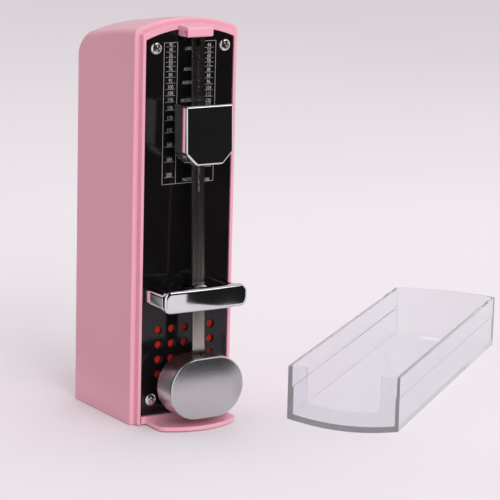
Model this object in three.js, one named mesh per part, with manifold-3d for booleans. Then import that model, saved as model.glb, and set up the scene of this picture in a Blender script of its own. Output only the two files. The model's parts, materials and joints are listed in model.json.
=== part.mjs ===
// Small wind-up metronome: arched plastic case, open-front pendulum with a sliding tempo weight,
// spring barrel, two-step gear train with escape wheel, winding key, and a clear slip-on cover.
// Millimetres. +X to the right seen from the front, -Y towards the front, +Z up.
// Origin: centre of the rubber base pad, on the surface the metronome stands on.
import * as THREE from 'three';
import { mergeVertices } from 'three/addons/utils/BufferGeometryUtils.js';
import Module from 'manifold-3d';

const wasm = await Module();
wasm.setup();

// ---- driving dimensions ----
const GAP = 0.3; // clearance left between touching pieces
const CASE_HALF = 23; // half the case width
const LEDGE_Y = -23; // flat ledge that the cover closes against
const BACK_Y = 23; // outside of the back wall
const RIM_Y = -25.6; // front of the thin rim inside the ledge
const LEDGE_W = 1.9; // ledge width
const OPENING_INSET = 3.25; // rim inner edge, measured in from the case side
const WALL = 2; // case wall
const CASE_BOTTOM = 0.5; // underside of case and base plate
const ARCH_PEAK = 160.4; // top of the arch at the front
const ARCH_R = 65; // radius of the arch
const OPENING_PEAK = 156.5; // top of the arched opening in the front
const OPENING_R = 52;
const TOP_SLOPE = 0.087; // the top falls towards the back from the ledge, and more steeply further back
const TOP_CURVE = 0.0015;
const REAR_TOP_R = 12; // side view: rounding from the top into the back
const REAR_CORNER_R = 1.5; // upright back corners
const PANEL_Y = -25.2; // front of the dial panel
const PANEL_T = 1.2;
const PANEL_BOTTOM = 4.15;
const SCREW_X = 15.4; // dial panel screws
const SCREW_Z = [10.2, 149.3];
const BASE_SCREW_X = 17; // base screws, driven up into posts
const BASE_SCREW_Y = [-9, 15];
const PLATE_SCREW = [12, 80]; // screws through the back plate of the movement: x, z
const HOLE_PITCH = 5.95; // sound holes
const HOLE_TOP_Z = 38;
const HOLE_R = 1.6;
const PIVOT_Z = 52.5; // pendulum axis height
const ROD_Y = -34.75; // rod centre at the pivot
const ROD_TILT = -0.0365; // the rod leans back towards the catch (turn about X, radians)
const ROD_W = 5.4;
const ROD_T = 0.8;
const ROD_TOP = 102.7; // rod end above the pivot
const ROD_BOTTOM = -30;
const RIVET_Z = -24; // rivet that holds the lower weight, from the pivot
const WEIGHT_Z = -35.2; // lower weight centre, from the pivot
const WEIGHT_HALF = 16.6;
const WEIGHT_R = 12.3;
const WEIGHT_Y = [-44.7, -32.3];
const SLIDER_HALF = 10.6; // sliding weight
const SLIDER_Z = [52.6, 75.8]; // along the rod, from the pivot
const SLIDER_CUT = 4.7; // lower corner chamfer
const SLIDER_FRONT = -8.9;
const BRIDGE_HALF = 18.8; // pivot bridge across the front
const BRIDGE_Y = [-41.9, -38.3];
const BRIDGE_Z = [48, 57];
const LIP_HALF = 17.2; // front lip of the base
const LIP_R = 28.8;
const LIP_FRONT = -42.6;
const GREAT = { module: 0.75, wheel: 40, pinion: 8 }; // barrel wheel to middle pinion
const SECOND = { module: 0.8, wheel: 30, pinion: 6 }; // middle wheel to escape pinion
const ESCAPE_Z = PIVOT_Z + 12.3;
const MIDDLE_Z = ESCAPE_Z + SECOND.module * (SECOND.wheel + SECOND.pinion) / 2;
const BARREL_Z = MIDDLE_Z + GREAT.module * (GREAT.wheel + GREAT.pinion) / 2;
const FRONT_PLATE_Y = [-18.5, -17];
const BACK_PLATE_Y = [7, 8.5];
const PLATE_HALF = 14;
const PLATE_Z = [45, 113.5];
const PILLARS = [[-11.8, 48], [11.8, 48], [-11.8, 110.8], [11.8, 110.8]];
const KEY_Y = 24; // inner end of the key hub
const COVER_POS = [46.9, -68.8]; // near end of the cover, lying beside the case
const COVER_YAW = -52.2 * Math.PI / 180;
const COVER_LEN = 152.5;
const COVER_SAG = 2.5; // crown of the cover front
const COVER_TOP = 24.2;
const COVER_WALL = 2;
const MOUTH_HALF = 15.8; // opening in the cover's near end, and the curved sill below it
const SILL_Z = 8.4;
const SILL_R = 99.6;

// ---- materials ----
const looks = {
  pink: [0xe3a0b2, 0.35, 0], black: [0x141215, 0.25, 0], red: [0x9c1512, 0.6, 0],
  nickel: [0xcfc8c0, 0.25, 1], steel: [0x9b9a98, 0.35, 1], chrome: [0xdde0e4, 0.06, 1],
  satin: [0xb2b0b4, 0.38, 1], brass: [0xc8a050, 0.3, 1], rubber: [0x1d1c1c, 0.8, 0],
  clear: [0xe8eaf0, 0.05, 0], spring: [0x5c6470, 0.3, 1],
};
const group = new THREE.Group();

function piece(name, look, shape, parent = group) {
  const [color, roughness, metalness] = looks[look];
  const material = new THREE.MeshStandardMaterial({ color, roughness, metalness });
  const mesh = new THREE.Mesh(geometryOf(shape), material);
  mesh.name = name;
  parent.add(mesh);
  return mesh;
}

// ---- solids ----
function solidOf(geometry) {
  geometry.deleteAttribute('normal');
  geometry.deleteAttribute('uv');
  const merged = mergeVertices(geometry, 1e-4);
  return new wasm.Manifold(new wasm.Mesh({
    numProp: 3,
    vertProperties: new Float32Array(merged.attributes.position.array),
    triVerts: new Uint32Array(merged.index.array),
  }));
}

function geometryOf(solid) {
  const mesh = solid.getMesh();
  const geometry = new THREE.BufferGeometry();
  geometry.setAttribute('position', new THREE.BufferAttribute(mesh.vertProperties, 3));
  geometry.setIndex(new THREE.BufferAttribute(mesh.triVerts, 1));
  geometry.computeVertexNormals();
  return geometry;
}

// Prism of a closed outline. plane 'XZ' runs along Y, 'XY' along Z, 'YZ' along X.
function prism(outline, from, to, plane = 'XZ') {
  const shape = new THREE.Shape(outline.map(([a, b]) => new THREE.Vector2(a, b)));
  const geometry = new THREE.ExtrudeGeometry(shape, { depth: to - from, bevelEnabled: false });
  if (plane === 'XZ') geometry.rotateX(Math.PI / 2).translate(0, to, 0);
  if (plane === 'XY') geometry.translate(0, 0, from);
  if (plane === 'YZ') {
    geometry.translate(0, 0, from);
    geometry.applyMatrix4(new THREE.Matrix4().set(0, 0, 1, 0, 1, 0, 0, 0, 0, 1, 0, 0, 0, 0, 0, 1));
  }
  return solidOf(geometry);
}

function box(x0, x1, y0, y1, z0, z1) {
  const geometry = new THREE.BoxGeometry(x1 - x0, y1 - y0, z1 - z0);
  return solidOf(geometry.translate((x0 + x1) / 2, (y0 + y1) / 2, (z0 + z1) / 2));
}

function arc(cx, cz, r, from, to, steps) {
  return Array.from({ length: steps + 1 }, (_, i) => {
    const angle = from + (to - from) * i / steps;
    return [cx + r * Math.cos(angle), cz + r * Math.sin(angle)];
  });
}

function circle(cx, cz, r, steps) {
  return arc(cx, cz, r, 0, 2 * Math.PI * (1 - 1 / steps), steps - 1);
}

// Round bar or hole along Y; a hole is drawn around its circle so that a shaft can turn in it.
function bar(x, z, r, y0, y1, steps = 16) {
  return prism(circle(x, z, r, steps), y0, y1);
}

function hole(x, z, r, y0, y1, steps = 16) {
  return prism(circle(x, z, r / Math.cos(Math.PI / steps), steps), y0, y1);
}

// Turned body about an axis along Y, from a profile of [radius, Y] that starts and ends on the axis.
function turned(x, z, profile) {
  const points = profile.map(([r, y]) => new THREE.Vector2(r, y));
  return solidOf(new THREE.LatheGeometry(points, 10).translate(x, 0, z));
}

function post(x, y, r, z0, z1, steps = 12) {
  return prism(circle(x, y, r, steps), z0, z1, 'XY');
}

function join(first, ...rest) {
  return rest.reduce((sum, solid) => sum.add(solid), first);
}

function cut(first, ...rest) {
  return rest.reduce((sum, solid) => sum.subtract(solid), first);
}

// Rounded rectangle outline.
function rounded(x0, x1, z0, z1, r, steps = 4) {
  const turn = Math.PI / 2;
  return [
    ...arc(x1 - r, z0 + r, r, -turn, 0, steps), ...arc(x1 - r, z1 - r, r, 0, turn, steps),
    ...arc(x0 + r, z1 - r, r, turn, 2 * turn, steps), ...arc(x0 + r, z0 + r, r, 2 * turn, 3 * turn, steps),
  ];
}

// Upright sides under a shallow arch.
function arched(half, peak, r, bottom, steps = 10) {
  const lean = Math.asin(half / r);
  const up = Math.PI / 2;
  return [[-half, bottom], [half, bottom], ...arc(0, peak - r, r, up - lean, up + lean, steps)];
}

// Front outline of the case, drawn in by inset.
function archOutline(inset, bottom) {
  return arched(CASE_HALF - inset, ARCH_PEAK - inset, ARCH_R - inset, bottom);
}

// Outline of the opening in the front, drawn in by gap.
function openingOutline(gap, bottom) {
  return arched(CASE_HALF - OPENING_INSET - gap, OPENING_PEAK - gap, OPENING_R - gap, bottom);
}

// Places along the case from front to back, each with how far the top has fallen there:
// a slow fall, then a quarter round into the back.
function topFall(inset, front) {
  const meetY = BACK_Y - REAR_TOP_R;
  const slope = [0, 0.35, 0.7, 1].map((t) => {
    const y = front + t * (meetY - front);
    return [y, TOP_SLOPE * (y - LEDGE_Y) + TOP_CURVE * (y - LEDGE_Y) ** 2];
  });
  const r = REAR_TOP_R - inset;
  const fall = slope[3][1];
  const rounding = arc(0, 0, 1, Math.PI / 2, 0, 6).slice(1)
    .map(([c, s]) => [meetY + r * c, fall + r * (1 - s)]);
  return [...slope, ...rounding];
}

// Arched body swept from front to back, its top following topFall.
function sweptArch(inset, front, bottom) {
  const places = topFall(inset, front);
  const shape = new THREE.Shape(archOutline(inset, bottom).map(([x, z]) => new THREE.Vector2(x, z)));
  const last = places.length - 1;
  const geometry = new THREE.ExtrudeGeometry(shape, { depth: last, steps: last, bevelEnabled: false });
  const points = geometry.attributes.position;
  for (let i = 0; i < points.count; i += 1) {
    const [y, fall] = places[last - Math.round(points.getZ(i))];
    const z = points.getY(i);
    points.setXYZ(i, points.getX(i), y, z > bottom + 1 ? z - fall : z);
  }
  return solidOf(geometry);
}

// ---- case ----
function caseShell() {
  const corner = REAR_CORNER_R;
  const plan = [
    [-CASE_HALF, LEDGE_Y], [CASE_HALF, LEDGE_Y],
    ...arc(CASE_HALF - corner, BACK_Y - corner, corner, 0, Math.PI / 2, 3),
    ...arc(-CASE_HALF + corner, BACK_Y - corner, corner, Math.PI / 2, Math.PI, 3),
  ];
  const outer = sweptArch(0, LEDGE_Y, CASE_BOTTOM).intersect(prism(plan, 0, ARCH_PEAK + 1, 'XY'));
  const rim = prism(archOutline(LEDGE_W, CASE_BOTTOM), RIM_Y, LEDGE_Y + 1);
  const inner = sweptArch(WALL, LEDGE_Y + 3.5, -1);
  const opening = prism(openingOutline(0, -1), RIM_Y - 1, LEDGE_Y + 4);
  let shell = cut(join(outer, rim), inner, opening);
  shell = join(shell, ...caseBosses(), catchBlock());
  const keyHole = hole(0, BARREL_Z, 2.6, BACK_Y - WALL - 1, BACK_Y + 1);
  return cut(shell, keyHole, ...bossHoles(), catchSlot());
}

function caseBosses() {
  const bosses = [];
  const wallX = CASE_HALF - 1;
  for (const side of [-1, 1]) {
    const ribs = [side * SCREW_X, side * wallX].sort((a, b) => a - b);
    for (const z of SCREW_Z) {
      bosses.push(bar(side * SCREW_X, z, 2.6, -23.7, -14, 12), box(...ribs, -23.7, -14, z - 1, z + 1));
    }
    for (const y of BASE_SCREW_Y) {
      const foot = [side * BASE_SCREW_X, side * wallX].sort((a, b) => a - b);
      bosses.push(post(side * BASE_SCREW_X, y, 2.6, 3.9, 14), box(...foot, y - 1, y + 1, 3.9, 14));
    }
    bosses.push(bar(side * PLATE_SCREW[0], PLATE_SCREW[1], 2.4, BACK_PLATE_Y[1] + GAP, BACK_Y - 1, 12));
  }
  return bosses;
}

function bossHoles() {
  const holes = [];
  for (const side of [-1, 1]) {
    for (const z of SCREW_Z) holes.push(hole(side * SCREW_X, z, 1.3, -24, -16, 10));
    for (const y of BASE_SCREW_Y) holes.push(post(side * BASE_SCREW_X, y, 1.35, 3, 11, 10));
    holes.push(hole(side * PLATE_SCREW[0], PLATE_SCREW[1], 1.2, BACK_PLATE_Y[1], BACK_PLATE_Y[1] + 7, 10));
  }
  return holes;
}

// Catch at the top of the opening: the rod's upper end stands in its slot, which is open to both sides.
function catchBlock() {
  const profile = [[-33, 154.3], [-32.5, 153.8], [-26, 153.8], [-25.5, 154.2], [-25.5, 157.3],
    [-24.5, 157.4], [-24.5, 158.2], [-32, 157.7], [-33, 157]];
  return prism(profile, -5.7, 5.7, 'YZ');
}

function catchSlot() {
  return box(-7, 7, -31.9, -29.9, 153, 156.2);
}

function basePlate() {
  const half = CASE_HALF - WALL - GAP;
  const front = CASE_HALF - OPENING_INSET - 0.35;
  const lean = Math.asin(LIP_HALF / LIP_R) - 0.04;
  const down = -Math.PI / 2;
  const plan = [
    ...arc(0, LIP_FRONT + LIP_R, LIP_R, down - lean, down + lean, 16),
    [LIP_HALF, -36.5], [LIP_HALF, -26], [front, -25.5], [front, -19.2], [half, -19.2],
    [half, 20.7], [-half, 20.7], [-half, -19.2], [-front, -19.2], [-front, -25.5],
    [-LIP_HALF, -26], [-LIP_HALF, -36.5],
  ];
  const profile = [
    [-44, CASE_BOTTOM], [21, CASE_BOTTOM], [21, 3.6], [-26, 3.6], [-28.5, 2.6], [-32, 2.1], [-44, 2.1],
  ];
  const slab = prism(plan, 0, 6, 'XY').intersect(prism(profile, -25, 25, 'YZ'));
  const holes = [prism(rounded(-13.3, 13.3, -16.3, 16.3, 3.3), 0, 1.3, 'XY')];
  for (const side of [-1, 1]) {
    for (const y of BASE_SCREW_Y) {
      holes.push(post(side * BASE_SCREW_X, y, 1.35, 0, 5, 10), post(side * BASE_SCREW_X, y, 2.4, 0, 2, 12));
    }
  }
  return cut(slab, ...holes);
}

function baseScrew(side, y) {
  const x = side * BASE_SCREW_X;
  return join(post(x, y, 2, 0.7, 1.7), post(x, y, 1, 1.5, 10, 10));
}

// ---- dial panel ----
function frontPanel() {
  const plate = prism(openingOutline(GAP, PANEL_BOTTOM), PANEL_Y, PANEL_Y + PANEL_T);
  const y = [PANEL_Y - 1, PANEL_Y + PANEL_T + 1];
  const holes = [hole(0, PIVOT_Z, 2.6, ...y)];
  for (let row = 0; row < 4; row += 1) {
    for (let column = -2; column <= 2; column += 1) {
      holes.push(hole(column * HOLE_PITCH, HOLE_TOP_Z - row * HOLE_PITCH, HOLE_R, ...y, 8));
    }
  }
  for (const side of [-1, 1]) {
    for (const z of SCREW_Z) holes.push(hole(side * SCREW_X, z, 1.3, ...y, 10));
    holes.push(hole(side * 16.9, 52.5, 1.2, ...y, 10));
  }
  return cut(plate, ...holes);
}

// Slotted screw whose head sits on a face that looks along -Y.
function slotScrew(x, z, face, headR, shankR, length) {
  const top = face - GAP;
  const body = join(bar(x, z, headR, top - 0.8, top, 10), bar(x, z, shankR, top - 0.2, top + length, 8));
  return cut(body, box(x - headR - 1, x + headR + 1, top - 2, top - 0.45, z - 0.25, z + 0.25));
}

// Cross-head screw with a domed head, on the dial panel.
function panelScrew(x, z) {
  const top = PANEL_Y - GAP;
  const [headR, headH, shankR, length] = [2.45, 1.1, 1, 6.5];
  const profile = [
    [0, top - headH], [headR * 0.55, top - headH], [headR * 0.9, top - headH * 0.6], [headR, top - 0.2],
    [headR, top], [shankR, top], [shankR, top + length], [0, top + length],
  ];
  const body = turned(x, z, profile);
  const arm = headR * 0.55;
  const cross = join(
    box(x - arm, x + arm, top - headH - 1, top - headH + 0.55, z - 0.28, z + 0.28),
    box(x - 0.28, x + 0.28, top - headH - 1, top - headH + 0.55, z - arm, z + arm),
  );
  return cut(body, cross);
}

// ---- pivot bridge ----
function pivotBridge() {
  const [y0, y1] = BRIDGE_Y;
  const front = prism(rounded(-BRIDGE_HALF, BRIDGE_HALF, ...BRIDGE_Z, 2.4, 5), y0, y1);
  const legs = [-1, 1].map((side) => {
    const x = [side * 15.1, side * 18.7].sort((a, b) => a - b);
    return box(...x, y1 - 0.5, PANEL_Y - GAP, 49.4, 55.6);
  });
  const screwHoles = [-1, 1].map((side) => hole(side * 16.9, 52.5, 1.2, -32, PANEL_Y, 10));
  return cut(join(front, ...legs), hole(0, PIVOT_Z, 1, y1 - 2.2, y1 + 1, 12), ...screwHoles);
}

function bridgeScrew(side) {
  const x = side * 16.9;
  const rear = PANEL_Y + PANEL_T + GAP;
  return join(bar(x, 52.5, 1.9, rear, rear + 1, 12), bar(x, 52.5, 0.9, -31.5, rear + 0.5, 10));
}

// ---- pendulum ----
const rodFrame = new THREE.Group();
rodFrame.position.set(0, ROD_Y, PIVOT_Z);
rodFrame.rotation.x = ROD_TILT;
group.add(rodFrame);

function pendulumRod() {
  const strip = prism(rounded(-ROD_W / 2, ROD_W / 2, ROD_BOTTOM, ROD_TOP, 0.8, 3), -ROD_T / 2, ROD_T / 2);
  const tipHole = hole(0, ROD_TOP - 3.6, 1.5, -2, 2, 14);
  const rivetHole = hole(0, RIVET_Z, 1, -2, 2, 12);
  return cut(strip, hole(0, 0, 1.3, -2, 2, 14), tipHole, rivetHole);
}

function pendulumHub() {
  const disc = bar(0, PIVOT_Z, 4.9, -37.6, -31.4, 20);
  const slot = box(-3, 3, ROD_Y - 1.1, ROD_Y + 1.1, PIVOT_Z - 6, PIVOT_Z + 6);
  const rearStep = cut(bar(0, PIVOT_Z, 7, -33, -31, 12), bar(0, PIVOT_Z, 3.4, -34, -30, 16));
  return cut(disc, slot, rearStep, hole(0, PIVOT_Z, 1.1, -40, -30, 12));
}

function pendulumArbor() {
  return join(bar(0, PIVOT_Z, 0.8, -40.2, 8.2, 12), bar(0, PIVOT_Z, 1.6, -30.8, -20, 12));
}

// Two-lobed pallet cam that rocks just under the escape wheel.
function palletCam() {
  const lobes = [];
  for (let i = 0; i < 24; i += 1) {
    const angle = i * Math.PI / 12;
    const r = 3 + 1.9 * Math.abs(Math.cos(angle + Math.PI / 4)) ** 3 * (Math.sin(angle) > 0 ? 1 : 0.35);
    lobes.push([r * Math.cos(angle), PIVOT_Z + r * Math.sin(angle)]);
  }
  return cut(prism(lobes, -16.4, -14.6), hole(0, PIVOT_Z, 1.1, -17, -14, 12));
}

function stadium(half, r, z, steps) {
  const up = Math.PI / 2;
  return [...arc(half - r, z, r, -up, up, steps), ...arc(r - half, z, r, up, 3 * up, steps)];
}

function lowerWeight() {
  const z = PIVOT_Z + WEIGHT_Z;
  const [y0, y1] = WEIGHT_Y;
  const body = prism(stadium(WEIGHT_HALF, WEIGHT_R, z, 12), y0 + 0.9, y1 - 0.3);
  const face = prism(stadium(WEIGHT_HALF - 0.8, WEIGHT_R - 0.8, z, 12), y0, y1);
  const rodSlot = box(-3.05, 3.05, -37.2, -34.6, z - 6, z + 20);
  const rivetHole = hole(0, PIVOT_Z + RIVET_Z, 1.2, -39, -30, 12);
  return cut(join(body, face), rodSlot, rivetHole);
}

function weightRivet() {
  const z = PIVOT_Z + RIVET_Z;
  const profile = [[0, -38.5], [0.8, -38.5], [0.8, -32], [1.9, -32], [1.7, -31.3], [0.9, -31], [0, -31]];
  return turned(0, z, profile);
}

// ---- sliding tempo weight, in the rod's own frame ----
function sliderOutline(inset) {
  const half = SLIDER_HALF - inset;
  const [z0, z1] = [SLIDER_Z[0] + inset, SLIDER_Z[1] - inset];
  const chamfer = SLIDER_CUT - inset * 0.6;
  return [
    [-half + chamfer, z0], [half - chamfer, z0], [half, z0 + chamfer],
    ...arc(half - 1, z1 - 1, 1, 0, Math.PI / 2, 3), ...arc(1 - half, z1 - 1, 1, Math.PI / 2, Math.PI, 3),
    [-half, z0 + chamfer],
  ];
}

function sliderShell() {
  const skin = join(
    prism(sliderOutline(0), SLIDER_FRONT + 0.7, 0.4),
    prism(sliderOutline(0.7), SLIDER_FRONT, 0.4),
  );
  const hollow = prism(sliderOutline(1.4), SLIDER_FRONT + 1.6, 1);
  const channel = box(-3, 3, -1.2, 1, SLIDER_Z[0] - 1, SLIDER_Z[1] + 1);
  const blocks = [-1, 1].map((side) => bar(side * 7, 64.2, 1.7, SLIDER_FRONT + 1, 0.4, 12));
  const screwHoles = [-1, 1].map((side) => hole(side * 7, 64.2, 0.9, -5, 1, 10));
  return cut(join(cut(skin, hollow), ...blocks), channel, ...screwHoles);
}

function sliderBack() {
  const plate = prism(rounded(-9, 9, SLIDER_Z[0] + 1.5, SLIDER_Z[1] - 1.5, 2.5), 0.7, 1.4);
  return cut(plate, ...[-1, 1].map((side) => hole(side * 7, 64.2, 0.9, 0, 2, 10)));
}

function sliderScrew(side) {
  return join(bar(side * 7, 64.2, 1.3, 1.7, 2.3, 12), bar(side * 7, 64.2, 0.6, -3.5, 2, 10));
}

// Bowed leaf between the hollow's front and the rod, which holds the weight where it is set.
function sliderSpring() {
  const centre = (SLIDER_Z[0] + SLIDER_Z[1]) / 2;
  const front = Array.from({ length: 9 }, (_, i) => {
    const t = i / 4 - 1;
    return [-0.9 - 1.9 * t * t, centre + 8 * t];
  });
  const rear = front.map(([y, z]) => [y - 0.35, z]).reverse();
  return prism([...front, ...rear], -1.8, 1.8, 'YZ');
}

// ---- movement ----
function movementPlate([y0, y1], plateHoles) {
  const plate = prism(rounded(-PLATE_HALF, PLATE_HALF, ...PLATE_Z, 3), y0, y1);
  return cut(plate, ...plateHoles.map(([x, z, r]) => hole(x, z, r, y0 - 1, y1 + 1, 14)));
}

function pillar([x, z]) {
  const y0 = FRONT_PLATE_Y[1] + GAP;
  const y1 = BACK_PLATE_Y[0] - GAP;
  return cut(bar(x, z, 1.8, y0, y1, 12), hole(x, z, 0.95, y0 - 1, y0 + 5, 8));
}

// Spur gear outline with slim teeth; phase turns the first tooth's centre.
function gearOutline(cx, cz, module, teeth, phase) {
  const pitchR = module * teeth / 2;
  const step = 2 * Math.PI / teeth;
  const rootR = pitchR - 1.15 * module;
  const tipR = pitchR + 0.8 * module;
  const points = [];
  for (let i = 0; i < teeth; i += 1) {
    const middle = phase + i * step;
    for (const [r, share] of [[rootR, -0.24], [tipR, -0.1], [tipR, 0.1], [rootR, 0.24]]) {
      points.push([cx + r * Math.cos(middle + share * step), cz + r * Math.sin(middle + share * step)]);
    }
  }
  return points;
}

// Wheel outline with a tooth space straight below its centre, where its pinion meshes.
function wheelOutline(z, { module, wheel }) {
  return gearOutline(0, z, module, wheel, -Math.PI / 2 + Math.PI / wheel);
}

// Saw-toothed wheel outline, for the ratchet and the escape wheel.
function sawOutline(cx, cz, teeth, tipR, rootR, sense) {
  const step = sense * 2 * Math.PI / teeth;
  const points = [];
  for (let i = 0; i < teeth; i += 1) {
    points.push([cx + tipR * Math.cos(i * step), cz + tipR * Math.sin(i * step)]);
    const foot = (i + 0.12) * step;
    points.push([cx + rootR * Math.cos(foot), cz + rootR * Math.sin(foot)]);
  }
  return sense > 0 ? points : points.reverse();
}

function spokes(z, count, rimR, hubR, y0, y1) {
  const windows = [];
  for (let i = 0; i < count; i += 1) {
    const a = 2 * Math.PI * i / count + 0.32;
    const b = 2 * Math.PI * (i + 1) / count - 0.02;
    windows.push(prism([...arc(0, z, rimR, a, b - 0.1, 4), ...arc(0, z, hubR, b - 0.3, a + 0.2, 2)], y0, y1));
  }
  return windows;
}

function escapeWheel() {
  const wheel = prism(sawOutline(0, ESCAPE_Z, 15, 7, 5.5, 1), -16.2, -15);
  return cut(wheel, hole(0, ESCAPE_Z, 1.1, -17, -14, 12));
}

function escapeArbor() {
  const pinion = prism(gearOutline(0, ESCAPE_Z, SECOND.module, SECOND.pinion, Math.PI / 2), -13.4, -9.8);
  return join(bar(0, ESCAPE_Z, 0.8, -18.2, 8.2, 12), pinion);
}

function middleWheel() {
  const wheel = prism(wheelOutline(MIDDLE_Z, SECOND), -12.2, -11);
  return cut(wheel, hole(0, MIDDLE_Z, 1.1, -13, -10, 12), ...spokes(MIDDLE_Z, 4, 9.6, 3.4, -13, -10));
}

function middleArbor() {
  const pinion = prism(gearOutline(0, MIDDLE_Z, GREAT.module, GREAT.pinion, Math.PI / 2), -7.6, -4.4);
  return join(bar(0, MIDDLE_Z, 0.8, -18.2, 8.2, 12), pinion);
}

function barrelDrum() {
  const teeth = prism(wheelOutline(BARREL_Z, GREAT), -6.6, -5.2);
  const cup = cut(bar(0, BARREL_Z, 9.6, -5.6, 4.6, 32), bar(0, BARREL_Z, 8.8, -4.2, 6, 32));
  return cut(join(teeth, cup), hole(0, BARREL_Z, 1.75, -8, 6, 16));
}

function barrelCover() {
  return cut(bar(0, BARREL_Z, 8.4, 3.6, 4.5, 32), hole(0, BARREL_Z, 1.85, 3, 5, 16));
}

// Mainspring strip, a spiral inside the drum.
function mainspring() {
  const steps = 60;
  const turns = 5.5;
  const line = (offset) => Array.from({ length: steps + 1 }, (_, i) => {
    const t = i / steps;
    const r = 2.3 + 5.7 * t + offset;
    const angle = t * turns * 2 * Math.PI;
    return [r * Math.cos(angle), BARREL_Z + r * Math.sin(angle)];
  });
  return prism([...line(0.15), ...line(-0.15).reverse()], -3.7, 3.1);
}

function windingArbor() {
  const tail = prism(rounded(-1.15, 1.15, BARREL_Z - 1.15, BARREL_Z + 1.15, 0.2, 1), 22, KEY_Y + 4.5);
  return join(bar(0, BARREL_Z, 1.6, -18.2, 22.5, 16), tail);
}

function ratchetWheel() {
  const wheel = prism(sawOutline(0, BARREL_Z, 16, 6, 5, -1), 9.6, 10.8);
  return cut(wheel, hole(0, BARREL_Z, 1.9, 9, 12, 12));
}

const CLICK_POST = [-9.6, BARREL_Z - 4.6];

function click() {
  const [x, z] = CLICK_POST;
  const pawl = [
    [x - 1.9, z - 1], [x - 0.6, z - 2], [x + 1.2, z - 1.6], [x + 2.1, z + 1.5], [x + 2.6, z + 5.4],
    [x + 1.5, z + 5.2], [x + 0.2, z + 2.2], [x - 1.4, z + 1.4],
  ];
  return cut(prism(pawl, 9.6, 10.8), hole(x, z, 0.95, 9, 12, 12));
}

function clickPost() {
  const [x, z] = CLICK_POST;
  const profile = [
    [0, 8.8], [1.6, 8.8], [1.6, 9.3], [0.8, 9.3], [0.8, 11.1], [1.5, 11.1], [1.5, 11.7], [0, 11.7],
  ];
  return turned(x, z, profile);
}

// Flat spring that rests against the back of the click.
function clickSpring() {
  const [x, z] = CLICK_POST;
  const strip = [[x - 3, z - 8], [x - 2.6, z - 8], [x - 2.3, z + 0.5], [x - 1.4, z + 4.6],
    [x - 1.8, z + 4.7], [x - 2.7, z + 0.6]];
  const foot = box(x - 3.6, x - 1, 8.8, 11, z - 9.4, z - 7.6);
  return join(prism(strip, 9.7, 10.7), foot);
}

function windingKey() {
  const hub = bar(0, BARREL_Z, 3.3, KEY_Y, KEY_Y + 5.5, 20);
  const wing = prism([
    [-12.5, KEY_Y + 5], [-11.8, KEY_Y + 3.4], [11.8, KEY_Y + 3.4], [12.5, KEY_Y + 5], [12.5, KEY_Y + 8],
    [10.5, KEY_Y + 10], [4, KEY_Y + 10.6], [-4, KEY_Y + 10.6], [-10.5, KEY_Y + 10], [-12.5, KEY_Y + 8],
  ], BARREL_Z - 1.3, BARREL_Z + 1.3, 'XY');
  const socket = box(-1.5, 1.5, KEY_Y - 1, KEY_Y + 4.8, BARREL_Z - 1.5, BARREL_Z + 1.5);
  return cut(join(hub, wing), socket);
}

// ---- clear cover, in its own frame: X across, Y along, Z up out of its open side ----
function coverCrown(inset, top) {
  const half = CASE_HALF - inset;
  const r = (CASE_HALF ** 2 + COVER_SAG ** 2) / (2 * COVER_SAG);
  const lean = Math.asin(half / (r - inset));
  const down = -Math.PI / 2;
  return [...arc(0, r, r - inset, down - lean, down + lean, 12), [half, top], [-half, top]];
}

// Plan of the cover: square near end, arched far end.
function coverPlan(inset) {
  const half = CASE_HALF - inset;
  const r = ARCH_R - inset;
  const lean = Math.asin(half / r);
  const rise = Math.sqrt(ARCH_R ** 2 - CASE_HALF ** 2);
  const up = Math.PI / 2;
  return [[-half, inset], [half, inset], ...arc(0, COVER_LEN - rise, r, up - lean, up + lean, 12)];
}

function clearCover() {
  const outer = prism(coverCrown(0, COVER_TOP), 0, 170).intersect(prism(coverPlan(0), -1, 30, 'XY'));
  const innerPlan = prism(coverPlan(COVER_WALL), -1, 31, 'XY');
  const inner = prism(coverCrown(COVER_WALL, 30), 0, 170).intersect(innerPlan);
  const step = prism(coverPlan(1.5), COVER_TOP - 8.7, 31, 'XY');
  const lean = Math.asin(MOUTH_HALF / SILL_R);
  const down = -Math.PI / 2;
  const sill = arc(0, SILL_Z + SILL_R, SILL_R, down - lean, down + lean, 8);
  const mouth = prism([[-MOUTH_HALF, 31], ...sill, [MOUTH_HALF, 31]], -1, 5);
  const nubs = [-1, 1].map((side) => {
    const geometry = new THREE.CylinderGeometry(1, 1, 1.2, 10);
    return solidOf(geometry.rotateZ(Math.PI / 2).translate(side * CASE_HALF, 118, 9));
  });
  return cut(join(outer, ...nubs), inner, step, mouth);
}

// ---- assembly ----
piece('case_shell', 'pink', caseShell());
piece('base_plate', 'pink', basePlate());
piece('foot_pad', 'rubber', prism(rounded(-13, 13, -16, 16, 3), 0, 1, 'XY'));
piece('front_panel', 'black', frontPanel());
piece('sound_screen', 'red', box(-15, 15, -23.7, -23.2, 14, 43));
[[-1, 0], [1, 0], [-1, 1], [1, 1]].forEach(([side, row], i) => {
  piece(`panel_screw_${i + 1}`, 'nickel', panelScrew(side * SCREW_X, SCREW_Z[row]));
  piece(`base_screw_${i + 1}`, 'steel', baseScrew(side, BASE_SCREW_Y[row]));
});
piece('pivot_bridge', 'chrome', pivotBridge());
[-1, 1].forEach((side, i) => piece(`bridge_screw_${i + 1}`, 'steel', bridgeScrew(side)));

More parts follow.
